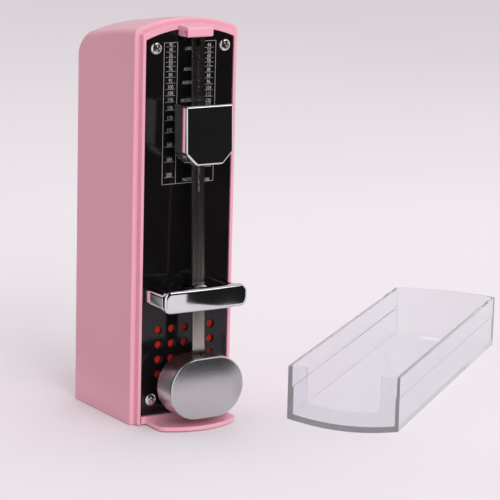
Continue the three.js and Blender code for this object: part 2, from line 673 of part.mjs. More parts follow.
piece('pendulum_rod', 'steel', pendulumRod(), rodFrame);
piece('pendulum_hub', 'brass', pendulumHub());
piece('pendulum_arbor', 'steel', pendulumArbor());
piece('pallet_cam', 'steel', palletCam());
piece('lower_weight', 'satin', lowerWeight());
piece('weight_rivet', 'brass', weightRivet());
piece('tempo_weight_shell', 'chrome', sliderShell(), rodFrame);
piece('tempo_weight_back', 'steel', sliderBack(), rodFrame);
piece('tempo_weight_spring', 'spring', sliderSpring(), rodFrame);
[-1, 1].forEach((side, i) => piece(`tempo_weight_screw_${i + 1}`, 'steel', sliderScrew(side), rodFrame));

const pivots = [[0, PIVOT_Z, 0.9], [0, ESCAPE_Z, 0.9], [0, MIDDLE_Z, 0.9], [0, BARREL_Z, 1.7]];
const pillarHoles = PILLARS.map(([x, z]) => [x, z, 0.95]);
piece('front_plate', 'brass', movementPlate(FRONT_PLATE_Y, [...pivots, ...pillarHoles]));
const screwHoles = [-1, 1].map((side) => [side * PLATE_SCREW[0], PLATE_SCREW[1], 1.2]);
piece('back_plate', 'brass', movementPlate(BACK_PLATE_Y, [...pivots, ...pillarHoles, ...screwHoles]));
PILLARS.forEach((place, i) => {
  piece(`pillar_${i + 1}`, 'brass', pillar(place));
  piece(`plate_screw_${i + 1}`, 'steel', slotScrew(...place, FRONT_PLATE_Y[0], 1.7, 0.6, 5));
});
[-1, 1].forEach((side, i) => {
  const place = [side * PLATE_SCREW[0], PLATE_SCREW[1]];
  piece(`movement_screw_${i + 1}`, 'steel', slotScrew(...place, BACK_PLATE_Y[0], 1.9, 0.85, 7));
});
piece('escape_wheel', 'brass', escapeWheel());
piece('escape_arbor', 'steel', escapeArbor());
piece('middle_wheel', 'brass', middleWheel());
piece('middle_arbor', 'steel', middleArbor());
piece('barrel_drum', 'brass', barrelDrum());
piece('barrel_cover', 'brass', barrelCover());
piece('mainspring', 'spring', mainspring());
piece('winding_arbor', 'steel', windingArbor());
piece('ratchet_wheel', 'steel', ratchetWheel());
piece('click', 'steel', click());
piece('click_post', 'steel', clickPost());
piece('click_spring', 'spring', clickSpring());
piece('winding_key', 'chrome', windingKey());

const coverFrame = new THREE.Group();
coverFrame.position.set(COVER_POS[0], COVER_POS[1], 0);
coverFrame.rotation.z = COVER_YAW;
group.add(coverFrame);
piece('clear_cover', 'clear', clearCover(), coverFrame);

export default group;
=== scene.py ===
import json
import math

import bmesh
import bpy
from mathutils import Matrix, Vector


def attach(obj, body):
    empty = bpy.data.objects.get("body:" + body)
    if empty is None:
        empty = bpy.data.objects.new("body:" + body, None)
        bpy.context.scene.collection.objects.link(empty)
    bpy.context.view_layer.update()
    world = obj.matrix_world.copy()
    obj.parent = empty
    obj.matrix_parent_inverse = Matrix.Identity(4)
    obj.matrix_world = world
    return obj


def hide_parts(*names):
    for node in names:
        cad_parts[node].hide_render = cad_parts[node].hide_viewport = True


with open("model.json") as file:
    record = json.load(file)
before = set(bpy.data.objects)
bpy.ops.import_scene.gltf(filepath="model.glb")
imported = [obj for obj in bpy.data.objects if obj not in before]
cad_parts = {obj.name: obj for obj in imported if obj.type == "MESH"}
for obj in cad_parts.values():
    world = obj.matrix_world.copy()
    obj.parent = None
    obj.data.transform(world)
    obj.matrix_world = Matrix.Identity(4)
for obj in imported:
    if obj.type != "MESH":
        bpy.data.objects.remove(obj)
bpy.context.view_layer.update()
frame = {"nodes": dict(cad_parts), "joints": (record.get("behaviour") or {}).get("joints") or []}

MM = 0.001
UP = math.pi / 2  # a quarter turn, and the direction of +Z in an outline

# ---------------------------------------------------------------- measures from the frame, in mm


def joint(name):
    return next(j for j in frame["joints"] if j["name"] == name)


def span(node, matrix=None):
    """Lowest and highest corner of a CAD node in mm, in the row frame or in the frame of matrix."""
    inverse = (matrix or Matrix()).inverted()
    points = [inverse @ (v.co / MM) for v in frame["nodes"][node].data.vertices]
    low = Vector([min(p[i] for p in points) for i in range(3)])
    high = Vector([max(p[i] for p in points) for i in range(3)])
    return low, high


def centre_of(node):
    """Centre of a CAD node's box, as x, y and z."""
    return [(low + high) / 2 for low, high in zip(*span(node))]


SHELL_LOW, SHELL_HIGH = span("case_shell")
PANEL_LOW, PANEL_HIGH = span("front_panel")
PANEL_GAP = 0.3  # play between the dial panel and the opening of the case
HALF = SHELL_HIGH.x
BACK = SHELL_HIGH.y
PEAK = SHELL_HIGH.z
BOTTOM = SHELL_LOW.z
LEDGE = PANEL_LOW.y + 2.2  # flat step round the front of the case
RIM = PANEL_LOW.y - 0.4  # front of the thin rim that stands out of the ledge
LEDGE_WIDTH = 1.9
WALL = 2
ARCH_R = 65
OPENING = HALF - PANEL_HIGH.x - PANEL_GAP  # from the case's side to the opening
OPENING_PEAK = PANEL_HIGH.z + PANEL_GAP
OPENING_R = 52
TOP_SLOPE = 0.087  # the top falls from the ledge to the back, first slowly and then faster
TOP_CURVE = 0.0015
REAR_TOP_R = 12
PIVOT = Vector(joint("pendulum_swing")["pos_m"]) / MM
SLIDE = Vector(joint("tempo_slide")["axis"])
ROD_FRAME = Matrix.Translation(PIVOT) @ Matrix.Rotation(-math.atan2(SLIDE.y, SLIDE.z), 4, "X")
RIVET_Z = -24  # rivet of the lower weight, from the pivot
COVER_TURN = Matrix.Rotation(math.radians(-52.2), 4, "Z")

# ---------------------------------------------------------------- outlines and places, in mm


def arc(cx, cz, r, start, end, steps):
    points = []
    for i in range(steps + 1):
        t = start + (end - start) * i / steps
        points.append((cx + r * math.cos(t), cz + r * math.sin(t)))
    return points


def circle(cx, cz, r, steps=32):
    return arc(cx, cz, r, 0, 2 * math.pi * (1 - 1 / steps), steps - 1)


def rounded(x0, x1, z0, z1, r, steps=8):
    return (arc(x1 - r, z0 + r, r, -UP, 0, steps) + arc(x1 - r, z1 - r, r, 0, UP, steps)
            + arc(x0 + r, z1 - r, r, UP, 2 * UP, steps) + arc(x0 + r, z0 + r, r, 2 * UP, 3 * UP, steps))


def paired_outline(half, z0, z1, r, steps=9, middle=16):
    """Rounded outline as points above from left to right, then below from right to left, in pairs."""
    turns = [UP * (i + 0.5) / steps for i in range(steps)]
    left = [(r - half - r * math.cos(t), z1 - r + r * math.sin(t)) for t in turns]
    straight = [((half - r) * (2 * i / middle - 1), z1) for i in range(1, middle)]
    upper = left + straight + [(-x, z) for x, z in reversed(left)]
    return upper + [(x, z0 + z1 - z) for x, z in reversed(upper)]


def round_edge(front, edge, steps=7):
    """Places (y, inset) around a rounded front edge, from the face to the side."""
    turns = [UP * i / steps for i in range(steps + 1)]
    return [(front + edge * (1 - math.cos(t)), edge * (1 - math.sin(t))) for t in turns]


def round_back(back, edge, steps=5):
    """Places (y, inset) around a rounded rear edge, from the side to the face."""
    return [(2 * back - y, inset) for y, inset in reversed(round_edge(back, edge, steps))]


# ---------------------------------------------------------------- mesh building, in mm


def link_object(name, data):
    obj = bpy.data.objects.new(name, data)
    bpy.context.collection.objects.link(obj)
    return obj


def face_out(mesh, weld=0.0):
    """Turns all faces outward, once points closer than weld, in metres, are joined."""
    bm = bmesh.new()
    bm.from_mesh(mesh)
    if weld:
        bmesh.ops.remove_doubles(bm, verts=bm.verts, dist=weld)
    bmesh.ops.recalc_face_normals(bm, faces=bm.faces)
    bm.to_mesh(mesh)
    bm.free()


def new_object(name, verts, faces, matrix=None):
    """Object from points that matrix, where given, takes to the row frame."""
    mesh = bpy.data.meshes.new(name)
    place = matrix or Matrix()
    mesh.from_pydata([(place @ Vector(v)) * MM for v in verts], [], faces)
    face_out(mesh)
    return link_object(name, mesh)


def loft(name, rings, matrix=None, strips=False):
    """Closed body through rings of equally many points. With strips, each end is closed by faces between
    the points above and below, which are in pairs from the two ends of the ring's list."""
    count = len(rings[0])
    verts = [p for ring in rings for p in ring]
    ends = [list(range(count))]
    if strips:
        ends = [[i, i + 1, count - 2 - i, count - 1 - i] for i in range(count // 2 - 1)]
    last = len(verts) - count
    faces = ends + [[last + i for i in face] for face in ends]
    for r in range(len(rings) - 1):
        for i in range(count):
            a, b = r * count + i, r * count + (i + 1) % count
            faces.append([a, b, b + count, a + count])
    return new_object(name, verts, faces, matrix)


def cushion(name, half, z0, z1, r, places, crown=0.0):
    """Body through rounded outlines at places of (y, inset); crown lets the ends of the front fall back."""
    front, back = places[0][0], places[-1][0]
    rings = []
    for y, inset in places:
        fade = max(0.0, 1 - (y - front) / (back - front) * 1.6)
        outline = paired_outline(half - inset, z0 + inset, z1 - inset, max(r - inset, 0.3))
        rings.append([(x, y + crown * fade * (x / half) ** 2, z) for x, z in outline])
    return loft(name, rings, strips=True)


def place_point(plane, a, b, c):
    """Point at (a, b) in the named plane and at c across it."""
    return {"XZ": (a, c, b), "XY": (a, b, c), "YZ": (c, a, b)}[plane]


def prism(name, outline, low, high, plane="XZ", matrix=None):
    rings = [[place_point(plane, a, b, c) for a, b in outline] for c in (low, high)]
    return loft(name, rings, matrix)


def box(name, low, high, matrix=None):
    outline = [(low[0], low[2]), (high[0], low[2]), (high[0], high[2]), (low[0], high[2])]
    return prism(name, outline, low[1], high[1], "XZ", matrix)


def turned(name, centre, profile, steps=40, matrix=None):
    """Body turned about an axis along Y through centre (x, z), from a profile of (radius, y)."""
    verts, rows = [], []
    for r, y in profile:
        if r == 0:
            rows.append([len(verts)] * steps)
            verts.append((centre[0], y, centre[1]))
            continue
        rows.append([len(verts) + i for i in range(steps)])
        for i in range(steps):
            t = 2 * math.pi * i / steps
            verts.append((centre[0] + r * math.cos(t), y, centre[1] + r * math.sin(t)))
    faces = []
    for one, two in zip(rows, rows[1:]):
        for i in range(steps):
            k = (i + 1) % steps
            faces.append(list(dict.fromkeys([one[i], one[k], two[k], two[i]])))
    return new_object(name, verts, faces, matrix)


def mesh_of(obj):
    """A copy of the object's mesh with its modifiers applied."""
    bpy.context.view_layer.update()
    graph = bpy.context.evaluated_depsgraph_get()
    return bpy.data.meshes.new_from_object(obj.evaluated_get(graph))


def apply_modifiers(obj):
    mesh = mesh_of(obj)
    obj.modifiers.clear()
    obj.data = mesh
    return obj


def combine(obj, tools, operation="DIFFERENCE"):
    for tool in tools:
        modifier = obj.modifiers.new("combine", "BOOLEAN")
        modifier.operation = operation
        modifier.solver = "EXACT"
        modifier.object = tool
        apply_modifiers(obj)
        bpy.data.objects.remove(tool)
    return obj


def merged(name, objects):
    """One object from several that don't touch."""
    bm = bmesh.new()
    for obj in objects:
        bm.from_mesh(obj.data)
        bpy.data.objects.remove(obj)
    mesh = bpy.data.meshes.new(name)
    bm.to_mesh(mesh)
    bm.free()
    return link_object(name, mesh)


def add_bevel(obj, width, segments, angle):
    """Rounds the edges sharper than angle, in degrees, by width."""
    modifier = obj.modifiers.new("edges", "BEVEL")
    modifier.width = width * MM
    modifier.segments = segments
    modifier.limit_method = "ANGLE"
    modifier.angle_limit = math.radians(angle)
    return modifier


def bevel(obj, width, segments, angle):
    """Rounds the edges of a blank that is cut afterwards."""
    add_bevel(obj, width, segments, angle).miter_outer = "MITER_ARC"
    return apply_modifiers(obj)


def shade(obj, width=0, segments=3, angle=28):
    """Smooth shading that keeps flat faces flat, with the sharp edges rounded by width."""
    for polygon in obj.data.polygons:
        polygon.use_smooth = True
    if width:
        add_bevel(obj, width, segments, angle).harden_normals = True
        return
    obj.data.set_sharp_from_angle(angle=math.radians(angle))
    obj.modifiers.new("normals", "WEIGHTED_NORMAL").keep_sharp = True


# ---------------------------------------------------------------- materials

NOISE_LOW, NOISE_HIGH = 0.3, 0.7  # most noise values are between these


def nodes_of(material):
    material.use_nodes = True
    tree = material.node_tree
    return tree, tree.nodes["Principled BSDF"]


def noise(tree, scale, detail=3, stretch=(1, 1, 1)):
    """A noise value in object space; scale is in features per metre along each axis."""
    place = tree.nodes.new("ShaderNodeTexCoord")
    mapping = tree.nodes.new("ShaderNodeMapping")
    mapping.inputs["Scale"].default_value = stretch
    texture = tree.nodes.new("ShaderNodeTexNoise")
    texture.inputs["Scale"].default_value = scale
    texture.inputs["Detail"].default_value = detail
    tree.links.new(place.outputs["Object"], mapping.inputs["Vector"])
    tree.links.new(mapping.outputs["Vector"], texture.inputs["Vector"])
    return texture.outputs["Fac"]


def spread(tree, value, low, high):
    """The noise value spread from low to high."""
    ranged = tree.nodes.new("ShaderNodeMapRange")
    limits = {"From Min": NOISE_LOW, "From Max": NOISE_HIGH, "To Min": low, "To Max": high}
    for socket, limit in limits.items():
        ranged.inputs[socket].default_value = limit
    tree.links.new(value, ranged.inputs["Value"])
    return ranged.outputs["Result"]


def bump(tree, shader, height, strength, distance):
    """Relief of distance, in mm."""
    node = tree.nodes.new("ShaderNodeBump")
    node.inputs["Strength"].default_value = strength
    node.inputs["Distance"].default_value = distance * MM
    tree.links.new(height, node.inputs["Height"])
    tree.links.new(node.outputs["Normal"], shader.inputs["Normal"])


def tinted(tree, shader, value, low, high):
    """Base colour that goes from low to high with the noise value."""
    ramp = tree.nodes.new("ShaderNodeValToRGB")
    stops = zip(ramp.color_ramp.elements, (NOISE_LOW, NOISE_HIGH), (low, high))
    for stop, position, colour in stops:
        stop.position = position
        stop.color = (*colour, 1)
    tree.links.new(value, ramp.inputs["Fac"])
    tree.links.new(ramp.outputs["Color"], shader.inputs["Base Color"])


def surface(name, low, high, rough, metal=0.0, grain=400, stretch=(1, 1, 1), relief=0.0, depth=0.01,
            **sockets):
    """A procedural material: colour between low and high and roughness between the two of rough, by noise."""
    material = bpy.data.materials.new(name)
    tree, shader = nodes_of(material)
    value = noise(tree, grain, 4, stretch)
    tinted(tree, shader, value, low, high)
    tree.links.new(spread(tree, value, *rough), shader.inputs["Roughness"])
    shader.inputs["Metallic"].default_value = metal
    for socket, setting in sockets.items():
        shader.inputs[socket.replace("_", " ")].default_value = setting
    if relief:
        bump(tree, shader, noise(tree, grain * 6, 2, stretch), relief, depth)
    return material


def clear_plastic():
    material = bpy.data.materials.new("clear cover plastic")
    tree, shader = nodes_of(material)
    shader.inputs["Base Color"].default_value = (0.88, 0.872, 0.9, 1)
    shader.inputs["Transmission Weight"].default_value = 0.92
    shader.inputs["IOR"].default_value = 1.3
    tree.links.new(spread(tree, noise(tree, 30), 0.05, 0.1), shader.inputs["Roughness"])
    return material


PINK = surface("case pink plastic", (0.725, 0.33, 0.415), (0.74, 0.34, 0.425), (0.29, 0.32), grain=35,
               Coat_Weight=0.25, Coat_Roughness=0.2)
BLACK = surface("dial black gloss", (0.004, 0.0035, 0.004), (0.006, 0.005, 0.006), (0.1, 0.16), grain=60,
                Specular_IOR_Level=0.35)
INK = surface("dial print", (0.30, 0.29, 0.29), (0.42, 0.41, 0.41), (0.45, 0.6), grain=900)
RED = surface("red sound screen", (0.33, 0.012, 0.009), (0.5, 0.022, 0.016), (0.65, 0.85), grain=900,
              relief=0.5, depth=0.08)
NICKEL = surface("nickel screws", (0.66, 0.62, 0.57), (0.78, 0.74, 0.69), (0.14, 0.24), 1.0, grain=700,
                 relief=0.05)
STEEL = surface("machined steel", (0.42, 0.42, 0.42), (0.55, 0.54, 0.53), (0.28, 0.4), 1.0, grain=500,
                relief=0.1)
ROD = surface("brushed rod steel", (0.46, 0.42, 0.39), (0.54, 0.5, 0.46), (0.2, 0.25), 1.0, grain=160,
              stretch=(6, 1, 0.3))
CHROME = surface("polished chrome", (0.74, 0.74, 0.76), (0.80, 0.80, 0.82), (0.03, 0.06), 1.0, grain=90)
SATIN = surface("satin silver", (0.57, 0.56, 0.575), (0.59, 0.58, 0.595), (0.27, 0.30), 1.0, grain=1400)
BRASS = surface("clock brass", (0.56, 0.37, 0.13), (0.68, 0.47, 0.19), (0.2, 0.32), 1.0, grain=500,
                relief=0.06)
SPRING = surface("blued spring steel", (0.08, 0.10, 0.15), (0.14, 0.16, 0.22), (0.2, 0.3), 1.0)
RUBBER = surface("pad rubber", (0.012, 0.012, 0.012), (0.022, 0.021, 0.021), (0.7, 0.9), grain=1500,
                 relief=0.3, depth=0.05)
CLEAR = clear_plastic()


def set_material(obj, material):
    obj.data.materials.clear()
    obj.data.materials.append(material)


def finish_piece(obj, material, body, slot_name, *nodes):
    """Gives a finished piece its material and body, and hides the CAD nodes that it replaces; slot_name is
    not used.
    """
    set_material(obj, material)
    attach(obj, body)
    if nodes:
        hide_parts(*nodes)


# ---------------------------------------------------------------- case

SKIN = 0.12  # the visible case stands this far outside the CAD shell
SKIN_DROP = 0.3  # and ends this far below it, close to the table
SHOULDER_R = 2.4
CATCH_HALF = 5.7
CATCH_FRONT = RIM - 7.4
CATCH_Z = 153.8  # underside of the rod catch
ROD_SLOT_LOW = (-8, RIM - 6.3, 150)
ROD_SLOT_HIGH = (8, RIM - 4.3, 156.2)
LIP_HALF = 17.2  # lip of the base, in front of the case
LIP_R = 28.8
LIP_SIDE = 6.4  # from the lip's front to where its straight sides start
LIP_DROP = 1.5  # the lip is lower than the base inside the case
LIP_BLEND = 6
BASE_STEP = -19.2  # the base is narrower in front of this
HOLE_PITCH = 5.95
HOLE_TOP = 38
HOLE_R = 1.6
HOLE_EDGE = 0.15


def arched(half, peak, r, bottom, fillet, steps=40):
    """Upright sides under a shallow arch, with rounded shoulders."""
    centre = peak - r
    z = centre + math.sqrt((r - fillet) ** 2 - (half - fillet) ** 2)
    lean = math.atan2(z - centre, half - fillet)
    upper = (arc(half - fillet, z, fillet, 0, lean, 6) + arc(0, centre, r, lean, math.pi - lean, steps)[1:]
             + arc(fillet - half, z, fillet, math.pi - lean, math.pi, 6)[1:])
    return [(-half, bottom), (half, bottom)] + upper


def case_outline(inset, bottom):
    return arched(HALF - inset, PEAK - inset, ARCH_R - inset, bottom, max(SHOULDER_R - inset, 0.4))


def opening_outline(inset, bottom):
    return arched(HALF - OPENING - inset, OPENING_PEAK - inset, OPENING_R - inset, bottom, 0.5)


def arch_body(name, outline, places, bottom):
    """Closed body through arches; places lists (y, inset, fall of the top)."""
    rings = []
    for y, inset, fall in places:
        ring = outline(inset, bottom)
        rings.append([(x, y, z) for x, z in ring[:2]] + [(x, y, z - fall) for x, z in ring[2:]])
    return loft(name, rings)


def top_fall(y):
    return TOP_SLOPE * (y - LEDGE) + TOP_CURVE * (y - LEDGE) ** 2


def case_places(inset, front, edge=0.0, corner=0.0, top_steps=8, rear_steps=24):
    """Places along the case: a rounded front edge, the slow fall of the top, a round rear."""
    front_edge = round_edge(front, edge, 6) if edge else [(front, 0.0)]
    places = [(y, inset + into, top_fall(y)) for y, into in front_edge]
    start, meet = places[-1][0], BACK - REAR_TOP_R
    for i in range(1, top_steps + 1):
        y = start + (meet - start) * i / top_steps
        places.append((y, inset, top_fall(y)))
    r = REAR_TOP_R - inset
    for i in range(1, rear_steps + 1):
        t = UP * i / rear_steps
        y = meet + r * math.sin(t)
        into = max(0.0, y - (BACK - inset - corner))
        side = corner - math.sqrt(max(corner ** 2 - into ** 2, 0))
        places.append((y, inset + side, top_fall(meet) + r * (1 - math.cos(t)) - side))
    return places


def catch_block():
    """Catch over the rod's upper end; its slot is cut afterwards."""
    profile = [
        (CATCH_FRONT, CATCH_Z + 0.5), (CATCH_FRONT + 0.5, CATCH_Z), (RIM - 0.4, CATCH_Z),
        (RIM + 0.1, CATCH_Z + 0.4), (RIM + 0.1, CATCH_Z + 3.5), (RIM + 1.4, CATCH_Z + 3.6),
        (RIM + 1.4, CATCH_Z + 4.4), (CATCH_FRONT + 1, CATCH_Z + 3.9), (CATCH_FRONT, CATCH_Z + 3.1),
    ]
    return bevel(prism("catch", profile, -CATCH_HALF, CATCH_HALF, "YZ"), 0.6, 5, 25)


def build_case():
    shell_places = case_places(-SKIN, LEDGE, edge=1.1, corner=1.5)
    shell = arch_body("case_skin", case_outline, shell_places, BOTTOM - SKIN_DROP)
    rim_places = [(RIM, LEDGE_WIDTH + 0.25, 0), (RIM + 0.08, LEDGE_WIDTH + 0.08, 0),
                  (RIM + 0.3, LEDGE_WIDTH, 0), (LEDGE + 2, LEDGE_WIDTH, 0)]
    rim = arch_body("rim", case_outline, rim_places, BOTTOM)
    cavity = arch_body("cavity", case_outline, case_places(WALL, LEDGE + 3.5), BOTTOM - 2)
    mouth_places = [(RIM - 1, -0.5, 0), (RIM, -0.12, 0), (RIM + 0.15, 0, 0), (LEDGE + 4, 0, 0)]
    mouth = arch_body("mouth", opening_outline, mouth_places, BOTTOM - 2)
    combine(shell, [rim], "UNION")
    combine(shell, [cavity, mouth])
    combine(shell, [catch_block()], "UNION")
    combine(shell, [box("slot", ROD_SLOT_LOW, ROD_SLOT_HIGH)])
    shade(shell, angle=35)
    finish_piece(shell, PINK, "case", "case_plastic", "case_shell")


def base_plan(low, high):
    """Plan of the base: a bowed lip in front, a neck in the opening, the full width inside the case."""
    lean = math.asin(LIP_HALF / LIP_R) - 0.05
    neck = HALF - OPENING - 0.35
    side = [(LIP_HALF, low.y + LIP_SIDE), (LIP_HALF, RIM - 0.6), (LIP_HALF + 0.5, RIM + 0.1),
            (neck, RIM + 0.1), (neck, BASE_STEP), (high.x, BASE_STEP), (high.x, high.y)]
    bow = arc(0, low.y + LIP_R, LIP_R, -UP - lean, -UP + lean, 40)
    return bow + side + [(-x, y) for x, y in reversed(side)]


def build_base():
    low, high = span("base_plate")
    start = RIM - 0.1
    profile = [(low.y - 2, low.z), (high.y + 1, low.z), (high.y + 1, high.z), (start, high.z)]
    for t in range(1, LIP_BLEND + 1):
        profile.append((start - t, high.z - LIP_DROP * math.sin(UP * t / LIP_BLEND) ** 0.8))
    profile.append((low.y - 2, high.z - LIP_DROP))
    plate = prism("base_skin", base_plan(low, high), low.z - 1, high.z + 2, "XY")
    combine(plate, [prism("profile", profile, -30, 30, "YZ")], "INTERSECT")
    pad = prism("pad recess", rounded(-13.3, 13.3, -16.3, 16.3, 3.3), low.z - 1, low.z + 0.8, "XY")
    wells = []
    for number in (1, 2, 3, 4):
        x, y, _ = centre_of(f"base_screw_{number}")
        wells.append(prism("well", circle(x, y, 2.4), low.z - 1, 2, "XY"))
    combine(plate, [pad, merged("wells", wells)])
    shade(plate, 0.35, 3, 40)
    finish_piece(plate, PINK, "case", "case_plastic", "base_plate")


def build_panel():
    front, back = PANEL_LOW.y, PANEL_HIGH.y
    gap = 0.25  # round the edge; the front edge is broken by 0.1
    places = [(front, gap + 0.1, 0), (front + 0.1, gap, 0), (back, gap, 0)]
    plate = arch_body("dial_plate", opening_outline, places, PANEL_LOW.z)
    wide = HOLE_R + HOLE_EDGE
    hole = [(0, front - 1), (wide, front - 1), (wide, front), (HOLE_R, front + HOLE_EDGE),
            (HOLE_R, back + 1), (0, back + 1)]
    holes = [prism("arbor hole", circle(0, PIVOT.z, 2.6), front - 1, back + 1)]
    for row in range(4):
        for column in range(-2, 3):
            centre = (column * HOLE_PITCH, HOLE_TOP - row * HOLE_PITCH)
            holes.append(turned("sound hole", centre, hole, 28))
    combine(plate, [merged("holes", holes)])
    shade(plate, angle=30)
    finish_piece(plate, BLACK, "case", "dial_black", "front_panel")


# ---------------------------------------------------------------- dial print

SCALE_TOP, SCALE_BOTTOM = 151.3, 95.9
COLUMN = (5.6, 11.6)  # inner and outer line of a column of numbers
LINE = 0.16
INK_THICK = 0.025
LEFT_NUMBERS = [40, 48, 56, 63, 69, 76, 84, 92, 100, 108, 116, 126, 138, 152, 168, 184, 200]
RIGHT_NUMBERS = [44, 52, 60, 66, 72, 80, 88, 96, 104, 112, 120, 132, 144, 160, 176, 192, 208]
TEMPO_WORDS = {"LARGO": 148.8, "ADAGIO": 140.8, "ANDANTE": 135.6, "MODERATO": 128.6, "ALLEGRO": 114,
               "PRESTO": 97.4}


def mark_height(beats):
    """Height of the line under a number, which falls faster towards the quick beats."""
    n = beats - LEFT_NUMBERS[0]
    return 149.6 - 0.25 * n - 0.00043 * n * n


def ink_line(x0, x1, z0, z1):
    y = PANEL_LOW.y
    return box("line", (x0, y - 0.03, z0), (x1, y + 0.02, z1))


def ink_text(words, x, z, size, squeeze=0.8):
    """Raised letters of the built-in font, centred at x with their foot at z."""
    curve = bpy.data.curves.new("words", "FONT")
    curve.body = words
    curve.size = size
    curve.align_x = "CENTER"
    curve.extrude = INK_THICK
    curve.resolution_u = 3
    text = link_object("words", curve)
    mesh = mesh_of(text)
    bpy.data.objects.remove(text)
    for vertex in mesh.vertices:
        a, b, c = vertex.co
        vertex.co = Vector((x + a * squeeze, PANEL_LOW.y - 0.005 - c, z + b)) * MM
    face_out(mesh, weld=1e-7)
    return link_object("words", mesh)


def build_print():
    lines, words = [], []
    for side, numbers in ((-1, LEFT_NUMBERS), (1, RIGHT_NUMBERS)):
        left, right = sorted(side * x for x in COLUMN)
        centre = (left + right) / 2
        lines += [ink_line(x - LINE / 2, x + LINE / 2, SCALE_BOTTOM, SCALE_TOP) for x in (left, right)]
        lines += [ink_line(left + LINE, right - LINE, z, z + LINE) for z in (SCALE_TOP - LINE, SCALE_BOTTOM)]
        for beats in numbers:
            z = mark_height(beats)
            words.append(ink_text(str(beats), centre, z + 0.3, 2.15))
            if z > SCALE_BOTTOM + 1:
                lines.append(ink_line(centre - 2.1, centre + 2.1, z, z + LINE * 0.7))
    lines.append(ink_line(-COLUMN[0] + LINE, COLUMN[0] - LINE, SCALE_BOTTOM, SCALE_BOTTOM + LINE))
    for word, z in TEMPO_WORDS.items():
        words.append(ink_text(word, 0, z - 0.8, 1.9, 0.72))
    finish_piece(merged("dial_lines", lines), INK, "case", "dial_black")
    finish_piece(merged("dial_numbers", words), INK, "case", "dial_black")


def build_panel_screw(number, r=2.45, height=1.15):
    """Cross-head screw with a domed head, turned to its own angle."""
    node = f"panel_screw_{number}"
    low, high = span(node)
    x, _, z = centre_of(node)
    top, seat = low.y, PANEL_LOW.y - 0.02
    turns = [UP * i / 10 for i in range(10)]
    dome = [(r * math.sin(t), top + height * (1 - math.cos(t) ** 0.8)) for t in turns]
    profile = dome + [(r, top + height - 0.1), (r, seat), (1.0, seat), (1.0, high.y), (0, high.y)]
    screw = turned(f"panel_screw_head_{number}", (x, z), profile, 40)
    turn = Matrix.Translation((x, 0, z)) @ Matrix.Rotation(0.5 + 0.9 * number, 4, "Y")
    for wide, tall in ((1.35, 0.33), (0.33, 1.35)):
        combine(screw, [box("cross", (-wide, top - 1, -tall), (wide, top + 0.75, tall), turn)])
    shade(screw, 0.07, 2, 35)
    finish_piece(screw, NICKEL, "case", "screw_nickel", node)


# ---------------------------------------------------------------- bridge and pendulum


def build_bridge():
    """Bar across the front on two short legs, with a blind bearing hole at the pivot."""
    low, high = span("pivot_bridge")
    back = low.y + 3.6
    places = round_edge(low.y, 1.3) + round_back(back, 0.7)
    bar = cushion("bridge_bar", high.x, low.z, high.z, 3.1, places, 0.55)
    legs = []
    for side in (-1, 1):
        x0, x1 = sorted((side * 15.1, side * 18.7))
        outline = rounded(x0, x1, PIVOT.z - 3.1, PIVOT.z + 3.1, 1.3, 6)
        legs.append(prism("leg", outline, back - 1.6, high.y))
    combine(bar, legs, "UNION")
    combine(bar, [prism("bearing", circle(0, PIVOT.z, 1.05, 24), back - 2.2, back + 1)])
    shade(bar, angle=40)
    finish_piece(bar, CHROME, "case", "chrome_trim", "pivot_bridge")


def build_rod():
    """Flat rod with a hole at its top, a pivot hole, a rivet hole and a small notch for every tempo."""
    low, high = span("pendulum_rod", ROD_FRAME)
    strip = prism("rod_strip", rounded(low.x, high.x, low.z, high.z, 0.8), low.y, high.y, "XZ", ROD_FRAME)
    drills = [(0, 1.3), (high.z - 3.6, 1.5), (RIVET_Z, 1.0)]
    holes = [prism("drill", circle(0, z, r, 28), -2, 2, "XZ", ROD_FRAME) for z, r in drills]
    notch = [(0, low.y - 0.3), (0.36, low.y - 0.3), (0.26, low.y), (0, low.y + 0.1)]
    marks = []
    for beats in LEFT_NUMBERS + RIGHT_NUMBERS:
        z = mark_height(beats) - PIVOT.z - 1.5
        marks.append(turned("notch", (0, z), notch, 14, ROD_FRAME))
    combine(strip, [merged("holes", holes), merged("notches", marks)])
    shade(strip, 0.16, 3, 50)
    finish_piece(strip, ROD, "pendulum", "steel", "pendulum_rod")


def build_hub():
    """Round boss behind the rod, slotted for it."""
    low, high = span("pendulum_hub")
    r = high.x
    boss_back = -33
    profile = [(0, low.y), (2.2, low.y), (2.4, low.y + 0.3), (r - 0.6, low.y + 0.3), (r, low.y + 0.9),
               (r, boss_back - 0.5), (r - 0.4, boss_back), (3.4, boss_back), (3.1, high.y), (0, high.y)]
    hub = turned("rod_hub", (0, PIVOT.z), profile, 56)
    rod_slot = box("slot", (-3, PIVOT.y - 1.1, PIVOT.z - 7), (3, PIVOT.y + 1.1, PIVOT.z + 7))
    bore = prism("bore", circle(0, PIVOT.z, 1.15, 24), low.y - 1, high.y + 1)
    combine(hub, [rod_slot, bore])
    shade(hub, 0.12, 2, 35)
    finish_piece(hub, STEEL, "pendulum", "brass", "pendulum_hub")


